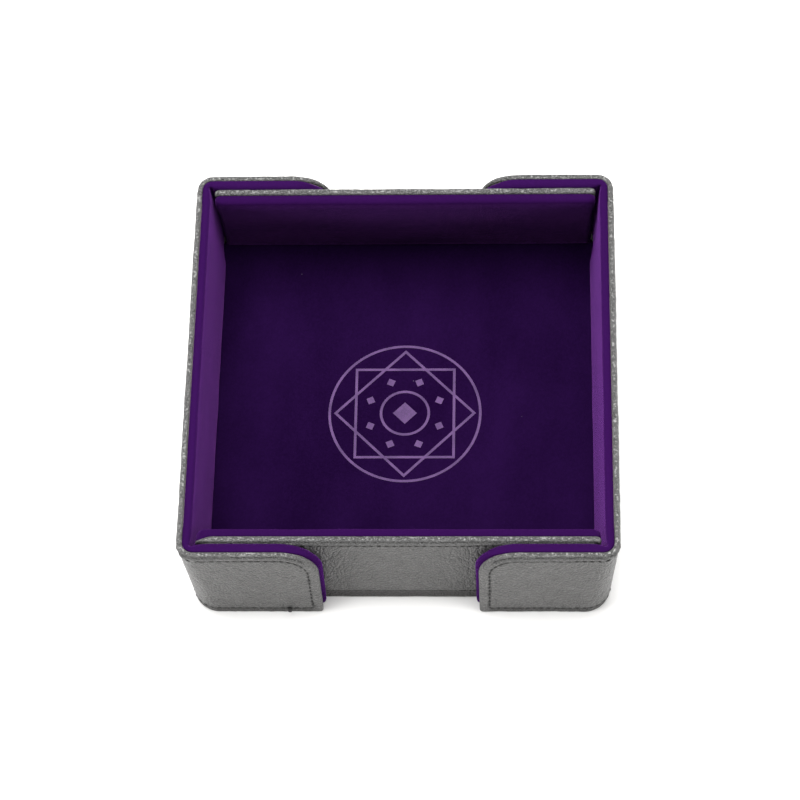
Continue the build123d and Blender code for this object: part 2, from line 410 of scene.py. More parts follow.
def shell(name, panel, place, profile, shape, material, edge):
    """Builds the closed shell of a panel. profile(outline) gives, for each border point, the rings'
    distances from the outline and their heights n over the face. shape(q, z, n) may move points,
    and edge(q, z, n) marks for the material, up to 1, a polished rim with painted highlights and
    open pile with painted sheen, and down to -1, painted shade."""
    grid = panel.grid
    q, z, n = [], [], []

    def add(points, heights):
        """Takes in points and gives back their vertex numbers, in the same arrangement."""
        start = sum(len(part) for part in q)
        q.append(points[..., 0].ravel())
        z.append(points[..., 1].ravel())
        n.append(np.broadcast_to(heights, points.shape[:-1]).ravel())
        return start + np.arange(q[-1].size).reshape(points.shape[:-1])

    rings, levels = [], []
    for path, outer in zip(panel.paths, panel.outers):
        inner = np.array([grid[i, j] for i, j in path])
        distance, height = profile(outer)
        share = (distance / HEM_BAND)[..., None]
        rings.append(add(outer[:, None] + (inner - outer)[:, None] * share, height))
        levels.append((height[:, 0].mean(), height[:, -1].mean()))
    front, back = (add(grid, level) for level in levels[0])
    faces = grid_faces(front) + grid_faces(back)
    for path, index in zip(panel.paths, rings):
        rim_front = [front[i, j] for i, j in path]
        rim_back = [back[i, j] for i, j in path]
        loops = np.column_stack([rim_front, index, rim_back])
        faces += grid_faces(np.vstack([loops, loops[:1]]) if panel.closed else loops)
    ends = [] if panel.closed else [(0, rings[0][0], rings[-1][-1])]
    if len(rings) == 2:
        ends.append((-1, rings[0][-1], rings[1][0]))
    for column, over, under in ends:
        faces.append([*front[column], *over, *back[column][::-1], *under[::-1]])
    q, z, n = shape(*(np.concatenate(part) for part in (q, z, n)))
    obj = add_object(name, place(q, z, n), faces, material)
    # The edge attribute carries painted highlights, painted sheen and painted shade, along with
    # real polish and open pile.
    mark = obj.data.attributes.new("edge", "FLOAT", "POINT")
    mark.data.foreach_set("value", edge(q, z, n).astype(np.float32))
    return obj


# Rings of one stitch from end to end: place along it as a share of half its length, radius and
# height over the leather.
STITCH_ALONG = np.array([-1, -0.86, -0.55, 0, 0.55, 0.86, 1])
STITCH_RADIUS = np.array([0.18, 0.38, 0.49, 0.52, 0.49, 0.38, 0.18])
STITCH_LIFT = np.array([-0.42, -0.2, -0.03, 0.03, -0.03, -0.2, -0.42]) - 0.1
STITCH_FLATNESS = 0.85
STITCH_TURN = np.linspace(0, 2 * math.pi, 8, endpoint=False)
KNOT_SWELL = 2.4
KNOT_LIFT = 1.1


def stitches(name, path, place, seed, knot=None):
    """A row of stitches along a line of (q, z) points, each one sunk into the leather at its ends.
    The stitch nearest to the point knot, if one is given, is knotted and stands out."""
    steps = np.linalg.norm(np.diff(path, axis=0), axis=1)
    travel = np.concatenate([[0], np.cumsum(steps)])
    count = int(travel[-1] / STITCH_PITCH)
    centres = (np.arange(count) + 0.5) * travel[-1] / count
    rng = np.random.default_rng(seed)

    def spot_on(distance):
        return np.interp(distance, travel, path[:, 0]), np.interp(distance, travel, path[:, 1])

    knotted = np.argmin([math.dist(spot_on(centre), knot) for centre in centres]) if knot else -1
    shape = (len(STITCH_ALONG), len(STITCH_TURN))
    verts, faces = [], []
    for number, centre in enumerate(centres):
        reach = STITCH_LENGTH / 2 * rng.uniform(0.9, 1.06)
        swell, rise = (KNOT_SWELL, KNOT_LIFT) if number == knotted else (1.0, 0.0)
        q, z = spot_on(centre + STITCH_ALONG * reach)
        angle = math.atan2(z[-1] - z[0], q[-1] - q[0]) + rng.uniform(-0.05, 0.05)
        radius = STITCH_RADIUS * swell
        across = np.outer(radius, np.cos(STITCH_TURN))
        out = np.outer(radius * STITCH_FLATNESS, np.sin(STITCH_TURN))
        out += (STITCH_LIFT + rise)[:, None]
        index = len(verts) * math.prod(shape) + np.arange(math.prod(shape)).reshape(shape)
        verts.append(
            place(q[:, None] - across * math.sin(angle), z[:, None] + across * math.cos(angle), out)
        )
        faces += tube_faces(index)
    verts = np.concatenate([part.reshape(-1, 3) for part in verts])
    return add_object(name, verts, faces, THREAD)


# ------------------------------------------------------------------ materials
class Graph:
    """A material's nodes. add() makes a node and sets or links its inputs by name."""

    def __init__(self, name):
        self.material = bpy.data.materials.new(name)
        self.material.use_nodes = True
        self.tree = self.material.node_tree
        self.tree.nodes.clear()
        self.output = self.add("ShaderNodeOutputMaterial")

    def add(self, kind, inputs=None, **settings):
        node = self.tree.nodes.new(kind)
        for key, value in settings.items():
            setattr(node, key, value)
        for key, value in (inputs or {}).items():
            if isinstance(value, bpy.types.NodeSocket):
                self.tree.links.new(value, node.inputs[key])
            else:
                node.inputs[key].default_value = value
        return node

    def math(self, operation, a, b=0.0):
        return self.add("ShaderNodeMath", {0: a, 1: b}, operation=operation).outputs[0]

    def weighted(self, first, *others):
        """Sum of values, given as pairs of a value and its weight."""
        total = self.math("MULTIPLY", *first)
        for value, weight in others:
            total = self.math("ADD", total, self.math("MULTIPLY", value, weight))
        return total

    def place(self, scale=(1, 1, 1)):
        """Object coordinates, stretched by scale."""
        coordinates = self.add("ShaderNodeTexCoord").outputs["Object"]
        mapping = self.add("ShaderNodeMapping", {"Vector": coordinates, "Scale": scale})
        return mapping.outputs["Vector"]

    def noise(self, vector, scale, detail=3.0, roughness=0.55):
        node = self.add(
            "ShaderNodeTexNoise",
            {"Vector": vector, "Scale": scale, "Detail": detail, "Roughness": roughness},
        )
        return node.outputs["Fac"]

    def cells(self, vector, scale, feature="F1"):
        inputs = {"Vector": vector, "Scale": scale}
        return self.add("ShaderNodeTexVoronoi", inputs, feature=feature).outputs["Distance"]

    def span(self, value, low, high, to_low=0.0, to_high=1.0):
        """Maps low..high of value to to_low..to_high, clamped."""
        source = {"Value": value, "From Min": low, "From Max": high}
        target = {"To Min": to_low, "To Max": to_high}
        return self.add("ShaderNodeMapRange", source | target).outputs["Result"]

    def blend(self, factor, a, b):
        """Mix of two colours."""
        inputs = {"Factor": factor, 6: a, 7: b}
        return self.add("ShaderNodeMix", inputs, data_type="RGBA").outputs[2]

    def warp(self, vector, scale, amount):
        """Moves the coordinates about by noise."""
        noise = self.add("ShaderNodeTexNoise", {"Vector": vector, "Scale": scale, "Detail": 2.0})
        offset = self.add(
            "ShaderNodeVectorMath",
            {0: noise.outputs["Color"], 1: (amount, amount, amount)},
            operation="MULTIPLY",
        )
        moved = self.add(
            "ShaderNodeVectorMath", {0: vector, 1: offset.outputs[0]}, operation="ADD"
        )
        return moved.outputs[0]

    def finish(self, colour, roughness, height, distance, strength, **constants):
        """Adds the shader, with a bump from the height. constants are its other inputs, with _ for
        a space in their names."""
        bump_inputs = {"Height": height, "Distance": distance, "Strength": strength}
        bump = self.add("ShaderNodeBump", bump_inputs)
        inputs = {"Base Color": colour, "Roughness": roughness, "Normal": bump.outputs["Normal"]}
        inputs.update({key.replace("_", " "): value for key, value in constants.items()})
        shader = self.add("ShaderNodeBsdfPrincipled", inputs)
        self.tree.links.new(shader.outputs["BSDF"], self.output.inputs["Surface"])
        return self.material


PAINTED_GLINT = (0.25, 0.25, 0.245, 1)
PAINTED_SHADE_LEATHER = (0.020, 0.019, 0.018, 1)
LINT = (0.14, 0.10, 0.17, 1)


def leather_material(name, dark, light, roughness):
    """Pebbled coated leather: warped cells with creases between them and fine pores on top. Along a
    rim's crown, polished by handling, the colour is darker and carries bright flecks that are
    painted highlights, and where the mark is below zero it is darkened by painted shade."""
    g = Graph(name)
    mark = g.add("ShaderNodeAttribute", attribute_name="edge").outputs["Fac"]
    spot = g.warp(g.place((1, 1, 0.8)), 420, 0.0011)
    pebble = g.cells(spot, 800)
    crease = g.span(g.cells(spot, 800, "DISTANCE_TO_EDGE"), 0.0, 0.16)
    fine = g.noise(g.place(), 3800, 2.0)
    patch = g.noise(g.place((1, 1, 0.6)), 260, 4.0, 0.6)
    broad = g.noise(g.place(), 24, 2.0)
    wave = g.noise(g.warp(g.place((1, 1, 0.7)), 90, 0.004), 150, 2.0)
    wrinkle = g.span(g.math("ABSOLUTE", g.math("SUBTRACT", wave, 0.5)), 0.0, 0.045)
    dome = g.span(pebble, 0.05, 0.75, 1.0, 0.0)
    height = g.weighted(
        (dome, 0.8), (crease, 0.35), (fine, 0.2), (patch, 1.9), (wrinkle, 0.8)
    )
    # The creases darken the tone: partly the grain's own colour, partly painted shade.
    tone = g.weighted((crease, 0.35), (patch, 0.7), (broad, 0.3))
    colour = g.blend(g.span(tone, 0.42, 1.0), dark, light)
    # Painted highlights: bright flecks on the rim's crown, where the mark is above zero. The
    # crown's base colour is darker there, and its real polish lowers the roughness.
    fleck = g.span(g.noise(g.place((1, 1, 1.6)), 700, 2.0), 0.52, 0.66)
    wear_and_glint = g.span(mark, 0.0, 1.0)
    colour = g.blend(g.math("MULTIPLY", wear_and_glint, 0.35), colour, dark)
    colour = g.blend(g.math("MULTIPLY", wear_and_glint, fleck), colour, PAINTED_GLINT)
    # Painted shade: darker where the mark is below zero, on the hem under a flap's bottom seam.
    colour = g.blend(g.span(mark, -1.0, 0.0, 0.8, 0.0), colour, PAINTED_SHADE_LEATHER)
    rough = g.weighted((fine, 0.6), (patch, 1.0))
    rough = g.span(rough, 0.4, 1.2, roughness - 0.1, roughness + 0.14)
    rough = g.math("SUBTRACT", rough, g.math("MULTIPLY", wear_and_glint, 0.12))
    return g.finish(colour, rough, height, 0.00042, 1.0, Specular_IOR_Level=0.42)


def velvet_material(name, deep, lit, open_pile_and_painted_sheen, sheen):
    """Short pile: clumps of fibres that lie in slightly different directions, with a soft sheen,
    lighter where the mark is above zero, partly open pile and partly painted sheen, and darker
    where it is below zero, which is painted shade."""
    g = Graph(name)
    mark = g.add("ShaderNodeAttribute", attribute_name="edge").outputs["Fac"]
    pile_and_painted_sheen_share = g.span(mark, 0.0, 1.0)
    brushed = g.noise(g.warp(g.place((1.0, 0.55, 1.0)), 30, 0.01), 32, 3.0)
    clump = g.noise(g.place(), 900, 3.0, 0.65)
    fibre = g.cells(g.place(), 3600)
    tone = g.weighted((brushed, 0.6), (clump, 0.4))
    colour = g.blend(g.span(tone, 0.36, 0.66), deep, lit)
    # Lighter where the mark is above zero: partly open pile, partly painted sheen.
    pile_and_painted_sheen_mix = g.math("MULTIPLY", pile_and_painted_sheen_share, g.span(clump, 0.2, 0.7, 0.75, 1.0))
    colour = g.blend(pile_and_painted_sheen_mix, colour, open_pile_and_painted_sheen)
    # Painted shade: darker where the mark is below zero.
    shaded = [value * 0.2 for value in deep[:3]] + [1]
    colour = g.blend(g.span(mark, -1.0, 0.0, 0.85, 0.0), colour, shaded)
    speck = g.span(g.cells(g.place(), 105), 0.022, 0.036, 1.0, 0.0)
    rarity = g.span(g.noise(g.place(), 60, 0.0), 0.60, 0.64)
    colour = g.blend(g.math("MULTIPLY", speck, rarity), colour, LINT)
    height = g.weighted((clump, 0.7), (fibre, 0.5), (brushed, 1.2))
    return g.finish(
        colour,
        g.span(clump, 0.3, 0.7, 0.82, 0.98),
        height,
        0.00035,
        0.9,
        Specular_IOR_Level=0.0,
        Sheen_Weight=sheen,
        Sheen_Roughness=0.3,
        Sheen_Tint=VELVET_SHEEN,
    )


def thread_material(name, dark, light):
    """Waxed thread, mottled by its twist."""
    g = Graph(name)
    twist = g.noise(g.place(), 2600, 2.0)
    colour = g.blend(g.span(twist, 0.35, 0.65), dark, light)
    rough = g.span(twist, 0.3, 0.7, 0.55, 0.8)
    return g.finish(colour, rough, twist, 0.0001, 0.7, Specular_IOR_Level=0.4)


def board_material(name):
    """Grey-brown board of long fibres, with dark flecks."""
    g = Graph(name)
    fibre = g.noise(g.place((1, 1, 6)), 420, 4.0, 0.7)
    fleck = g.noise(g.place(), 1500, 2.0)
    colour = g.blend(g.span(fibre, 0.3, 0.7), (0.20, 0.17, 0.13, 1), (0.36, 0.32, 0.26, 1))
    colour = g.blend(g.span(fleck, 0.6, 0.7, 0.0, 0.6), colour, (0.12, 0.10, 0.09, 1))
    return g.finish(colour, g.span(fibre, 0.3, 0.7, 0.75, 0.95), fibre, 0.0001, 0.6)


def magnet_material(name):
    """Nickel plating with fine scratches."""
    g = Graph(name)
    scratch = g.noise(g.place((14, 1, 14)), 260, 4.0, 0.7)
    mottle = g.noise(g.place(), 900, 2.0)
    colour = g.blend(g.span(mottle, 0.3, 0.7), (0.52, 0.52, 0.53, 1), (0.66, 0.66, 0.67, 1))
    rough = g.span(scratch, 0.3, 0.7, 0.22, 0.42)
    return g.finish(colour, rough, scratch, 0.00003, 0.5, Metallic=1.0)


def print_material(name):
    """Foil print pressed into velvet: matt lilac, rubbed thin where the pile shows through."""
    g = Graph(name)
    pile = g.noise(g.place(), 2400, 3.0, 0.7)
    patch = g.noise(g.place(), 140, 3.0)
    tone = g.weighted((pile, 0.6), (patch, 0.4))
    colour = g.blend(g.span(tone, 0.38, 0.62), (0.038, 0.014, 0.066, 1), (0.095, 0.042, 0.138, 1))
    rough = g.span(pile, 0.3, 0.7, 0.6, 0.85)
    return g.finish(colour, rough, pile, 0.0001, 0.6, Specular_IOR_Level=0.3)


# The pile's own colours in its depth and on its face, a lighter colour where it opens, which partly
# stands for painted sheen, and the tint of its sheen.
VELVET_COLOURS = ((0.0105, 0.0022, 0.026), (0.0185, 0.0041, 0.044), (0.036, 0.0058, 0.076))
VELVET_SHEEN = (0.36, 0.10, 0.60, 1)


def purple_velvet(name, share, sheen):
    """Velvet of the tray's purple. share scales the pile's own colours."""
    colours = ([value * share for value in colour] + [1] for colour in VELVET_COLOURS)
    return velvet_material(name, *colours, sheen)


LEATHER = leather_material(
    "pebbled_leather", (0.038, 0.0375, 0.037, 1), (0.088, 0.0865, 0.085, 1), 0.40
)
# A darker copy of the leather for the hinge bands and the underside: partly a darker hinge leather,
# partly painted shade for the bands that sit in shade under the walls.
SHADE_PAINTED_HINGE_LEATHER = leather_material(
    "hinge_leather", (0.021, 0.0195, 0.0195, 1), (0.041, 0.0385, 0.0385, 1), 0.5
)
VELVET = purple_velvet("side_velvet", 0.62, 0.58)
# A darker copy of the velvet, with less sheen, for the front and back walls' linings: painted
# shade.
PAINTED_SHADE_END_VELVET = purple_velvet("painted_shade_end_velvet", 0.54, 0.31)
FLOOR_VELVET = purple_velvet("floor_velvet", 0.62, 0.58)
THREAD = thread_material("dark_thread", (0.005, 0.0045, 0.0045, 1), (0.014, 0.013, 0.013, 1))
BOARD = board_material("grey_board")
MAGNET = magnet_material("plated_magnet")
PRINT = print_material("pressed_print")

# ------------------------------------------------------------------ border profiles, in mm
# Rings from the face over the edge to the back: distance from the outline, height over the face.
RIM_RINGS = np.array([
    (6.6, 0.0), (5.6, 0.0), (5.1, -0.05), (4.8, -0.32), (4.6, -0.48), (4.4, -0.32), (4.1, 0.08),
    (3.6, 0.30), (2.8, 0.50), (2.1, 0.42), (1.7, -0.1), (1.4, -0.75), (1.1, -0.55), (0.85, -0.15),
    (0.55, -0.04), (0.26, -0.22), (0.09, -0.6), (0.0, -1.1), (0.0, -1.8), (0.12, -2.3),
    (0.35, -2.68), (0.7, -2.87), (1.2, -2.9), (1.25, -2.6), (1.3, -1.3), (1.6, -1.2), (6.6, -1.2),
])
FREE_RINGS = np.array([
    (6.6, 0.0), (5.6, 0.0), (5.1, -0.05), (4.8, -0.12), (4.6, -0.26), (4.4, -0.12), (4.1, 0.06),
    (3.7, 0.14), (3.1, 0.18), (2.6, 0.19), (2.3, 0.19), (2.05, 0.18), (1.8, 0.16), (1.4, 0.08),
    (0.85, -0.08), (0.38, -0.35), (0.12, -0.75), (0.0, -1.2), (0.0, -1.8), (0.12, -2.3),
    (0.35, -2.68), (0.7, -2.87), (1.2, -2.9), (1.25, -2.6), (1.3, -1.3), (1.6, -1.2), (6.6, -1.2),
])
FOOT_RINGS = np.array([
    (6.6, 0.0), (5.4, 0.05), (4.7, 0.03), (4.4, -0.28), (4.2, -0.55), (4.0, -0.42), (3.7, -0.25),
    (3.3, -0.15), (2.8, -0.08), (2.4, -0.04), (2.1, -0.02), (1.9, 0.0), (1.6, 0.02), (1.2, 0.03),
    (0.75, -0.04), (0.34, -0.26), (0.1, -0.62), (0.0, -1.1), (0.0, -1.8), (0.12, -2.4),
    (0.35, -2.7), (0.7, -2.87), (1.2, -2.9), (1.25, -2.6), (1.3, -1.3), (1.6, -1.2), (6.6, -1.2),
])
PLAIN_RINGS = np.array([
    (6.6, 0.0), (5.6, 0.0), (5.1, 0.0), (4.8, 0.0), (4.6, 0.0), (4.4, 0.0), (4.1, 0.0),
    (3.5, 0.0), (2.8, 0.0), (2.2, 0.0), (1.95, 0.0), (1.75, 0.0), (1.5, -0.02), (1.1, -0.06),
    (0.7, -0.16), (0.35, -0.36), (0.12, -0.7), (0.0, -1.1), (0.0, -1.8), (0.12, -2.3),
    (0.35, -2.68), (0.7, -2.87), (1.2, -2.9), (1.25, -2.6), (1.3, -1.3), (1.6, -1.2), (6.6, -1.2),
])


# The rings that go round a folded edge, and the height of the first of them.
FOLD = slice(17, 24)
FOLD_START = 1.1


def folded(rings, thickness):
    """The same rings over a folded edge of another thickness than the panel's."""
    table = rings.copy()
    scale = (thickness - FOLD_START) / (COVER - FOLD_START)
    table[FOLD, 1] = -FOLD_START + (rings[FOLD, 1] + FOLD_START) * scale
    return table


def mixed(tables, shares):
    """Ring tables mixed by their shares at each point of the border: distances and heights."""
    weights = [np.asarray(share)[:, None, None] for share in shares]
    table = sum(rings[None] * weight for rings, weight in zip(tables, weights))
    return table[..., 0], table[..., 1]


def wall_border(outer):
    """Rim profile along the top, plain edge along the bottom."""
    high = outer[:, 1] > RIM / 2
    return mixed((folded(RIM_RINGS, SLIM_EDGE), PLAIN_RINGS), (high, 1 - high))


def end_border(outer):
    """Rim profile along the top, plain edges elsewhere."""
    high = ease((outer[:, 1] - RIM + 4.0) / 3.5)
    return mixed((folded(RIM_RINGS, END_EDGE), PLAIN_RINGS), (high, 1 - high))


def strip_border(outer):
    """Rim profile along the top, a plain hem down the free edge, and a hem that curls under along
    the bottom."""
    low = 1 - ease((outer[:, 1] - 2.0) / 8.0)
    free = ease((outer[:, 0] - STRIP_END + 10.0) / 6.0) * ease((RIM - 2.0 - outer[:, 1]) / 6.0)
    tables = (folded(RIM_RINGS, SLIM_EDGE), folded(FREE_RINGS, SLIM_EDGE), FOOT_RINGS)
    return mixed(tables, ((1 - low) * (1 - free), (1 - low) * free, low))


def unevenness(q, z, seed):
    """Broad waves and small lumps of a leather face."""
    wave = 0.10 * ripple(q, z, 17, seed) + 0.05 * ripple(q, z, 6, seed + 1)
    grain = 0.08 * ripple(q, z * 0.8, 2.2, seed + 2) + 0.06 * ripple(q, z * 0.8, 1.15, seed + 4)
    return wave + grain


def wall_shape(seed, cut):
    """Unevenness of a wall's cover that dies out at a cut, where the next piece carries on."""

    def shape(q, z, n):
        share = ease((n + 2.0) / 1.5) * ease((cut - np.abs(q)) / 5)
        return q, z, n + share * unevenness(q, z, seed)

    return shape


def end_shape(seed, mitre):
    """The same for a front or back wall, which is a little longer at the rim than at the foot. A
    mitre thins the fold at the rim's left end."""
    base = wall_shape(seed, END_HALF + 9)

    def shape(q, z, n):
        q, z, n = base(q, z, n)
        return longer_at_rim(q, z), z, n * np.where(n < 0, 1 - mitre * left_tip(q, z), 1)

    return shape


def left_tip(q, z):
    """1 at the left end of an end wall's rim, 0 away from it."""
    return ease((7.0 - q - END_HALF) / 6.5) * ease((z - RIM + 7.0) / 4.0)


def longer_at_rim(q, z):
    """Place along an end wall, stretched towards the rim."""
    return q * (1 + 0.016 * ease((z - 34) / 17))


def strip_shape(seed):
    """Unevenness of a corner strip, with puckers where the rim turns the corner, and thinner
    leather below the side wall's board."""

    def shape(q, z, n):
        outside = ease((n + 2.0) / 1.5)
        near = np.exp(-(((q - CORNER_STRIP * 0.55) / 7.0) ** 2))
        band = ease((RIM - 0.9 - z) / 0.8) * ease((z - RIM + 5.4) / 1.0)
        pucker = 0.30 * np.sin(q * 1.3 + 3 * ripple(q, z, 5, seed + 3)) * near * band
        share = outside * ease((q + SIDE_STRIP) / 5)
        n = n + share * (unevenness(q, z, seed) + pucker)
        foot = 1 - 0.58 * (1 - ease((z - 4.6) / 1.2)) * (1 - ease((q - CORNER_STRIP + 4) / 4))
        return q, z, n * np.where(n < 0, foot, 1)

    return shape


def rim_edge(q, z, n):
    """The crown of the folded edge along a rim, where the leather is polished by handling and
    carries painted highlight flecks.
    """
    return ease((z - RIM + 1.6) / 0.9) * np.exp(-(((n + 1.25) / 0.75) ** 2))


def strip_edge(q, z, n):
    """The crown of a strip's rim, and below zero on the hem under the bottom seam, where it paints
    shade.
    """
    low = (1 - ease((z - 4.2) / 0.5)) * (1 - ease((q - STRIP_END + 5.2) / 0.5))
    return rim_edge(q, z, n) - low * (n > -2.6)


def side_pile_and_painted_light(q, z, n):
    """Mark for a side or flap lining: lighter at the rim, the free edge and its own edge, partly
    open pile and partly painted sheen, and darkened towards the foot by painted shade."""
    high = ease((z - RIM + 9.0) / 8.0)
    free = ease((q - STRIP_END + 5.0) / 5.0)
    edge = 1 - ease((-n - COVER - 2.2) / 0.9)
    return np.maximum(np.maximum(0.85 * high, 0.8 * free), edge) - 0.95 * (1 - ease((z - 3) / 27))


def end_pile_and_painted_light(q, z, n):
    """Mark for a front or back wall's lining: lighter near the rim, partly open pile and partly
    painted light, and darkened below it by painted shade.
    """
    return ease((z - RIM + 9.0) / 8.0) - 0.85 * ease((RIM - 5.0 - z) / 18)


def lining_rings(rim, edge):
    """Rings of a pad of unit thickness, from its face over the edge to its back: distance from
    the leather's outline and depth below the lining's face, as shares. rim is how far the edge
    lies inside the outline and edge is how far its middle bulges out of that."""
    return np.array([
        (6.8, 0.0), (4.6, 0.0), (3.2, 0.0), (2.2 + rim * 0.3, 0.01), (1.45 + rim * 0.6, 0.035),
        (0.85 + rim * 0.8, 0.09), (0.4 + rim * 0.95, 0.18), (0.1 + rim - edge * 0.6, 0.32),
        (rim - edge, 0.52), (rim - edge * 0.9, 0.72), (rim - edge * 0.4, 0.88),
        (rim + 0.15, 0.97), (rim + 0.9, 1.0), (6.8, 1.0),
    ])


def lining_border(foot_inset, slim, flap=False):
    """Rings of a lining. foot_inset is its inset at the foot, slim is how far it laps over the
    leather at the rim, and a flap's lining stands out on its free edge."""

    def border(outer):
        foot, top = (lining_rings(rim, EDGE_BULGE) for rim in (foot_inset, RIM_INSET))
        high = ease((outer[:, 1] - RIM + 4.0) / 3.8)[:, None, None]
        table = foot[None] * (1 - high) + top[None] * high
        if flap:
            raised = lining_rings(FLAP_RIM_INSET, EDGE_BULGE)[None]
            on_flap = ease((outer[:, 0] - 2.0) / 18.0)[:, None, None] * high
            table = table * (1 - on_flap) + raised * on_flap
            edge = lining_rings(FREE_EDGE_INSET, FREE_EDGE_BULGE)[None]
            level = ease((outer[:, 1] - 1.0) / 4.0) * (1 - ease((outer[:, 1] - 38.0) / 12.0))
            near = (ease((outer[:, 0] - STRIP_END + 12.0) / 9.0) * level)[:, None, None]
            table = table * (1 - near) + edge * near
        lap = slim * high[..., 0] * table[..., 1]
        return table[..., 0], -COVER + lap - SIDE_PAD * (1 - table[..., 1])

    return border


def softness(q, z, n, seed):
    """How far a pad's velvet face rises and falls: upwards, and outwards."""
    face = ease((-n - COVER - 0.8) / 1.5)
    soft = 0.16 * ripple(q, z, 21, seed) + 0.07 * ripple(q, z, 8, seed + 1)
    fuzz = 0.06 * ripple(q * 1.3, z, 2.0, seed + 2)
    return fuzz * face, -0.8 * soft * face


def depth_share(n):
    """Depth in a lining, from 0 at its back to 1 at its face."""
    return np.clip((-n - COVER) / SIDE_PAD, 0, 1)


def side_pad_shape(q, z, n):
    """Shape of a side wall's lining, which is fuller at its foot and even at its cuts."""
    up, out = softness(q, z, n, 40)
    whole = ease((SIDE_CUT - np.abs(q)) / 5)
    bulge = FOOT_BULGE * (1 - ease((z - 8) / 20)) * ease((SIDE_CUT - np.abs(q)) / 6)
    return q, z + up * whole, n - bulge * depth_share(n) + out * whole


def end_pad_shape(mitre):
    """Shape of an end wall's lining, which is fuller at the top and longer at the rim."""

    def shape(q, z, n):
        up, out = softness(q, z, n, 50)
        inside = depth_share(n)
        lift = mitre * COVER * left_tip(q, z) * (1 - inside)
        bulge = TOP_BULGE * inside * ease((z - 26) / 22)
        return longer_at_rim(q, z), z + up, n + lift - bulge + out

    return shape


def flap_pad_shape(q, z, n):
    """Shape of a strip's lining: pinched in the soft corner, tucked in at the corner's foot, fuller
    on the flap, and raised above the floor between side wall and corner."""
    pinch = 1 - 0.40 * np.exp(-(((q - CORNER_STRIP / 2) / 6) ** 2))
    tucked = ease((q + SIDE_STRIP) / 5) * (1 - ease((q - 8) / 6)) * (1 - ease((z - 11) / 5))
    thinned = pinch * (1 - 0.16 * tucked)
    n = np.where(n < -COVER, -COVER + (n + COVER) * thinned, n)
    grown = ease(q / CORNER_STRIP) * FLAP_EXTRA * (0.2 + 0.8 * ease((z - 4) / 8))
    n = n - grown * depth_share(n)
    raised = (BASE_TOP - 0.3 - LINING_FOOT) * (1 - ease((q - 12) / 9))
    z = z + raised * (1 - ease((z - LINING_FOOT) / 16))
    up, out = softness(q, z, n, 60)
    whole = ease((q + SIDE_STRIP) / 5)
    return q, z + up * whole, n + out * whole


# ------------------------------------------------------------------ leather covers
# How much the fold thins at the left end of an end wall's rim.
MITRES = {"front": 0.75, "back": 0.0}
# The soft corner lies between a point on the side wall and one on the flap, in mm.
BEND_START = (93.3, 92.2)
BEND_END = (87.5, 98.0)
BEND_HEIGHT = 26.0


def pressed(piece, end_name):
    """Gives an end wall's piece a mesh of its own."""
    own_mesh(piece)


for name, sx in SIDES:
    layout, place = side_layout(160, 22), placed(side_face(sx))
    shape = wall_shape(3 + sx, SIDE_CUT)
    cover = shell(f"{name}_wall_cover", layout, place, wall_border, shape, LEATHER, rim_edge)
    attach(cover, f"{name}_wall")
    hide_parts(f"{name}_wall_leather")

for name, sy in ENDS:
    layout, place = end_layout((160, 26, 3)), placed(end_face(sy))
    shape = end_shape(13 + sy, MITRES[name])
    cover = shell(f"{name}_wall_cover", layout, place, end_border, shape, LEATHER, rim_edge)
    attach(cover, f"{name}_wall")
    pressed(cover, name)
    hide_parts(f"{name}_wall_leather")


def bend_with_flap(piece, corner, side_name, sx, sy):
    """Bakes a strip's placement into its mesh; the points at either end of the soft corner are
    worked out but not used.
    """
    side_point, flap_point = (
        (sx * x * MM, sy * y * MM, BEND_HEIGHT * MM) for x, y in (BEND_START, BEND_END)
    )
    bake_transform(piece)
    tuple(side_point)
    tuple(flap_point)


for corner, side_name, sx, sy in CORNERS:
    layout = strip_layout(STRIP_FOOT, 1.5, (8, 26, 30, 12, 26, 2))
    place, shape = placed(strip_face(sx, sy)), strip_shape(20 + 2 * sx + sy)
    cover = shell(f"{corner}_flap_cover", layout, place, strip_border, shape, LEATHER, strip_edge)
    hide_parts(f"{corner}_flap_leather", f"{corner}_corner_leather")
    bend_with_flap(cover, corner, side_name, sx, sy)

# ------------------------------------------------------------------ velvet linings
for name, sx in SIDES:
    layout, place = side_layout(80, 18), placed(side_face(sx))
    border = lining_border(SIDE_FOOT_INSET, COVER - SLIM_EDGE)
    lining = shell(
        f"{name}_wall_lining", layout, place, border, side_pad_shape, VELVET, side_pile_and_painted_light
    )
    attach(lining, f"{name}_wall")
    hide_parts(f"{name}_wall_velvet")

for name, sy in ENDS:
    layout, place = end_layout((80, 18, 3)), placed(end_face(sy))
    border = lining_border(END_FOOT_INSET, COVER - END_EDGE)
    shape = end_pad_shape(MITRES[name])
    lining = shell(f"{name}_wall_lining", layout, place, border, shape, PAINTED_SHADE_END_VELVET, end_pile_and_painted_light)
    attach(lining, f"{name}_wall")
    pressed(lining, name)
    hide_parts(f"{name}_wall_velvet")

for corner, side_name, sx, sy in CORNERS:
    layout = strip_layout(LINING_FOOT, 3.0, (5, 18, 18, 9, 16, 3))
    place = placed(strip_face(sx, sy))
    border = lining_border(SIDE_FOOT_INSET, COVER - SLIM_EDGE, flap=True)
    lining = shell(
        f"{corner}_flap_lining", layout, place, border, flap_pad_shape, VELVET, side_pile_and_painted_light
    )
    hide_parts(f"{corner}_flap_velvet", f"{corner}_corner_velvet")
    bend_with_flap(lining, corner, side_name, sx, sy)

# ------------------------------------------------------------------ stitching
for name, sx in SIDES:
    path = line((-SIDE_CUT, RIM - HEM), (SIDE_CUT, RIM - HEM), 50)
    seam = stitches(f"{name}_wall_thread", path, placed(side_face(sx)), 71)
    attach(seam, f"{name}_wall")
    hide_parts(f"{name}_wall_stitching")

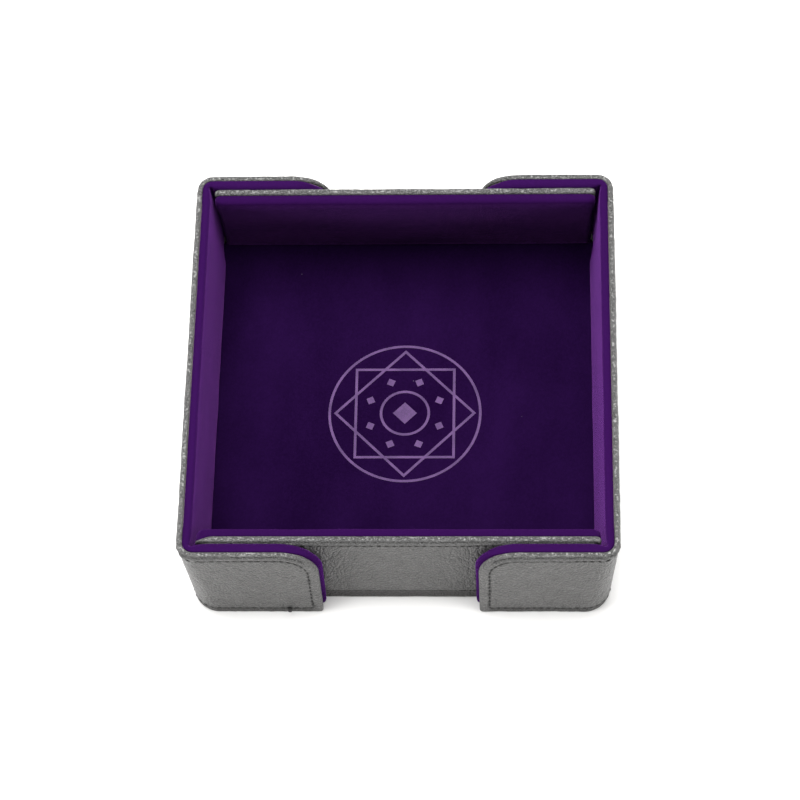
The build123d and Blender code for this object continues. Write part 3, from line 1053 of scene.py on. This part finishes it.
for name, sy in ENDS:
    path = line((-END_HALF + HEM, RIM - HEM), (END_HALF - HEM, RIM - HEM), 50)
    seam = stitches(f"{name}_wall_thread", path, placed(end_face(sy)), 72)
    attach(seam, f"{name}_wall")
    pressed(seam, name)
    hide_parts(f"{name}_wall_stitching")

# A flap's seam lies a little lower than HEM above its foot. The front left one has a knot.
SEAM_FOOT = STRIP_FOOT - 0.4
KNOT = (53.4, HEM)
seam_counts = (8, 30, 40, 20, 30, 4)
for corner, side_name, sx, sy in CORNERS:
    runs = strip_outline(HEM, FLAP_RADIUS - HEM, LEAST_RADIUS, SEAM_FOOT, seam_counts)
    place = placed(strip_face(sx, sy))
    knot = KNOT if corner == "front_left" else None
    seam = stitches(f"{corner}_flap_thread", polyline(*runs), place, 73, knot)
    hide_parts(f"{corner}_flap_stitching")
    bend_with_flap(seam, corner, side_name, sx, sy)

# ------------------------------------------------------------------ hinges and creases
# Section of the leather between the underside and a wall: distance out from the middle, height.
HINGE_SECTION = np.array([
    (90.2, 0.0), (91.2, 0.02), (91.72, 0.3), (91.98, 0.95), (91.9, 1.8), (91.55, 2.8), (91.3, 3.8),
    (91.32, 4.8), (91.42, 5.5), (91.3, 6.2), (90.4, 6.2), (90.75, 5.0), (90.75, 1.25), (90.2, 1.2),
])
# Section of the lining in the crease between the floor and a wall.
CREASE_SECTION = np.array([
    (83.2, 4.85), (87.2, 4.95), (89.6, 5.1), (90.3, 5.35), (90.45, 5.75), (90.0, 6.1), (87.4, 6.5),
    (87.4, 6.8), (90.2, 6.4), (90.72, 5.8), (90.7, 5.0), (89.8, 4.75), (87.2, 4.7), (83.2, 4.6),
])
# Half the lengths of the strips, in mm.
HINGE_REACH = SIDE_CUT - 0.02
CREASE_REACH = SIDE_CUT - 0.3


def swept_along(name, section, reach, direction, seed, material):
    """Sweeps a section along one edge of the base, a little unevenly. direction points outwards."""
    sections = []
    for spot in np.linspace(-reach, reach, 70):
        out = section[:, 0] + 0.06 * ripple(spot, section[:, 1], 7, seed)
        x = direction[0] * out + abs(direction[1]) * spot
        y = direction[1] * out + abs(direction[0]) * spot
        sections.append(np.stack([x, y, section[:, 1]], -1))
    return swept(name, sections, material)


def bend_with_wall(piece, name, direction, out):
    """Bakes a strip's placement into its mesh; the place of its edge is worked out but not used."""
    x, y = (part * out * MM for part in direction)
    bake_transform(piece)


EDGES = [(name, (sx, 0)) for name, sx in SIDES] + [(name, (0, sy)) for name, sy in ENDS]
for number, (name, out) in enumerate(EDGES):
    hinge = swept_along(
        f"{name}_hinge_strip", HINGE_SECTION, HINGE_REACH, out, 80 + number, SHADE_PAINTED_HINGE_LEATHER
    )
    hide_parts(f"{name}_hinge_leather")
    bend_with_wall(hinge, name, out, 91.5)
    crease = swept_along(
        f"{name}_crease_lining", CREASE_SECTION, CREASE_REACH, out, 90 + number, VELVET
    )
    bend_with_wall(crease, name, out, 90)


# ------------------------------------------------------------------ base
def base_slab(name, half, radius, edge, insets, top, material):
    """Rounded square slab with a rounded edge: edge is a row of (inset, height) from the middle of
    its top over the edge to its underside, and insets are rings nearer the middle."""

    def outline(inset):
        bend = max(radius - inset, 1.0)
        reach = half - inset - bend
        corners = ((0, 1, 1), (90, -1, 1), (180, -1, -1), (270, 1, -1))
        return np.concatenate([
            arc((cx * reach, cy * reach), bend, start, start + 90, 10) for start, cx, cy in corners
        ])

    rings = []
    for inset, height in [(inset, top) for inset in insets] + edge:
        x, y = outline(inset).T
        heights = np.full(len(x), float(height))
        if inset > 2 and height > top - 0.2:
            heights += 0.04 * ripple(x, y, 23, 5) - 0.05
        rings.append(np.column_stack([x, y, heights]))
    return swept(name, rings, material)


FLOOR_EDGE = [
    (1.6, 5.0), (0.9, 4.95), (0.4, 4.8), (0.1, 4.5), (0.0, 4.1), (0.1, 3.75), (0.6, 3.62),
    (4, 3.62),
]
FLOOR_INSETS = (85, 70, 55, 42, 30, 20, 12, 7, 4, 2.5)
floor_lining = base_slab(
    "floor_lining", BASE_HALF, 12, FLOOR_EDGE, FLOOR_INSETS, BASE_TOP, FLOOR_VELVET
)
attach(floor_lining, "base")
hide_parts("base_velvet")

# The underside's leather turns up around the edge of the board, and sticks out past it.
UNDERSIDE_EDGE = [
    (1.2, 1.2), (0.68, 1.25), (0.64, 1.6), (0.64, 3.7), (0.55, 3.95), (0.35, 4.05), (0.12, 3.95),
    (0.0, 3.6), (0.0, 0.9), (0.15, 0.4), (0.5, 0.08), (1.0, 0.0), (6, 0.0),
]
UNDERSIDE_HALF = BASE_HALF + 0.65
UNDERSIDE_TOP = 1.2
UNDERSIDE_INSETS = (60, 30, 10, 3)
underside = base_slab(
    "underside_leather", UNDERSIDE_HALF, 12.6, UNDERSIDE_EDGE, UNDERSIDE_INSETS, UNDERSIDE_TOP,
    SHADE_PAINTED_HINGE_LEATHER,
)
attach(underside, "base")
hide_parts("base_leather")

# ------------------------------------------------------------------ CAD nodes that show
NODE_MATERIALS = {
    "leather": LEATHER, "velvet": VELVET, "stitching": THREAD, "board": BOARD,
    "magnet": MAGNET, "magnets": MAGNET, "ornament": PRINT,
}
for node, obj in frame["nodes"].items():
    obj.data.materials.clear()
    obj.data.materials.append(NODE_MATERIALS[node.rsplit("_", 1)[1]])


# ------------------------------------------------------------------ studio
def area_light(name, location, target, size, power):
    """Square lamp that points at the target."""
    data = bpy.data.lights.new(name, "AREA")
    data.shape = "SQUARE"
    data.size = size
    data.energy = power
    light = bpy.data.objects.new(name, data)
    light.location = location
    light.rotation_euler = (Vector(target) - Vector(location)).to_track_quat("-Z", "Y").to_euler()
    bpy.context.scene.collection.objects.link(light)


floor_graph = Graph("studio_floor")
floor_tone = floor_graph.noise(floor_graph.place(), 3, 2.0)
floor_material = floor_graph.finish(
    floor_graph.blend(floor_tone, (0.86, 0.855, 0.84, 1), (0.88, 0.875, 0.865, 1)),
    floor_graph.span(floor_tone, 0, 1, 0.7, 0.8),
    floor_tone,
    0.0001,
    0.1,
)
FLOOR_REACH = 4000
ground_corners = np.array([(-1, -1, 0), (1, -1, 0), (1, 1, 0), (-1, 1, 0)]) * FLOOR_REACH
ground = add_object("studio_floor", ground_corners, [(0, 1, 2, 3)], floor_material)

world = bpy.data.worlds.new("studio")
world.use_nodes = True
background = world.node_tree.nodes["Background"].inputs
background["Color"].default_value = (1, 1, 1, 1)
background["Strength"].default_value = 0.64
bpy.context.scene.world = world
area_light("key", (-0.15, 0.40, 1.25), (0, 0, 0), 1.1, 38.0)
area_light("left_fill", (-1.05, -0.40, 0.25), (-0.08, -0.08, 0.03), 0.5, 12.0)
area_light("right_fill", (1.05, -0.45, 0.25), (0.08, -0.08, 0.03), 0.5, 12.0)

# ------------------------------------------------------------------ camera
# Place, angles and focal length fitted to the photograph's edges.
CAMERA_PLACE = (0.051865, -0.572239, 1.124364)
SENSOR_WIDTH = 36.0
FOCAL_LENGTH = 123.92
ELEVATION, YAW, ROLL = (math.radians(angle) for angle in (62.667, -5.378, 4.908))
ahead = np.array([
    math.sin(YAW) * math.cos(ELEVATION), math.cos(YAW) * math.cos(ELEVATION), -math.sin(ELEVATION)
])
right = np.array([math.cos(YAW), -math.sin(YAW), 0.0])
down = np.cross(ahead, right)
image_x = math.cos(ROLL) * right + math.sin(ROLL) * down
image_y = math.sin(ROLL) * right - math.cos(ROLL) * down
camera_data = bpy.data.cameras.new("camera")
camera_data.sensor_width = SENSOR_WIDTH
camera_data.lens = FOCAL_LENGTH
camera = bpy.data.objects.new("camera", camera_data)
bpy.context.scene.collection.objects.link(camera)
turn = Matrix(np.column_stack([image_x, image_y, -ahead]).tolist())
camera.matrix_world = Matrix.Translation(CAMERA_PLACE) @ turn.to_4x4()
bpy.context.scene.camera = camera
bpy.context.scene.view_settings.view_transform = "Standard"
